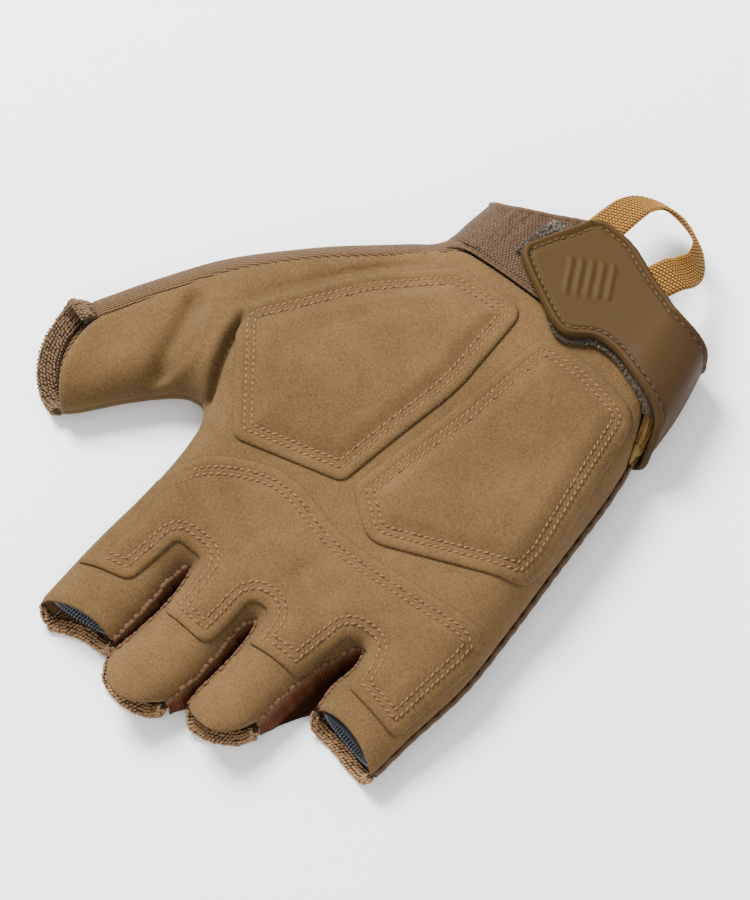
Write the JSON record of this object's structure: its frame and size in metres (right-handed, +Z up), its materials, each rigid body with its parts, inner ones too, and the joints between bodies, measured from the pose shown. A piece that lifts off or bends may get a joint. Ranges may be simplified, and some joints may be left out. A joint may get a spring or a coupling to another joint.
{
  "type": "fingerless tactical glove",
  "caption": "Right-hand fingerless tactical glove with a padded suede palm, elastic cuff, moulded wrist strap and webbing pull loop, lying on its back.",
  "frame": {"origin": "on the surface that the glove lies on, under the middle of its bounding box", "axes": "+Z up out of the palm, +Y from the fingers towards the cuff and the pull loop, +X towards the little-finger side, so the thumb is at -X"},
  "size_m": [0.1696, 0.2216, 0.0286],
  "materials": {
    "suede": "matte coyote-brown microsuede with a fine speckle",
    "twill": "brown herringbone twill",
    "ribbed_fabric": "dark red-brown ribbed stretch fabric",
    "hem_knit": "coyote knitted tape",
    "lining_knit": "blue-grey ribbed knit",
    "elastic": "fine woven elastic",
    "piping": "thin folded piping",
    "fleece": "golden-brown brushed stretch fabric",
    "loop_fabric": "brushed loop fastener, grey",
    "hook_fabric": "hook fastener, dark brown",
    "rubber": "matte moulded rubber, olive brown",
    "webbing": "golden-tan woven webbing with a slight sheen"
  },
  "bodies": {
    "root": {"palm_panel": "suede", "back_panel": "twill", "fourchette_index_middle": "ribbed_fabric", "fourchette_middle_ring": "ribbed_fabric", "fourchette_ring_little": "ribbed_fabric", "thenar_pad": "suede", "hypothenar_pad": "suede", "knuckle_patch": "suede", "index_hem": "hem_knit", "lining_index": "lining_knit", "middle_hem": "hem_knit", "lining_middle": "lining_knit", "ring_hem": "hem_knit", "lining_ring": "lining_knit", "little_hem": "hem_knit", "lining_little": "lining_knit", "thumb_hem": "hem_knit", "lining_thumb": "lining_knit", "cuff_band": "elastic", "wrist_binding": "piping", "side_seam_binding": "piping", "vent_gusset": "fleece", "loop_patch": "loop_fabric", "hook_patch": "hook_fabric", "strap": "rubber", "pull_loop": "webbing"}
  },
  "joints": []
}
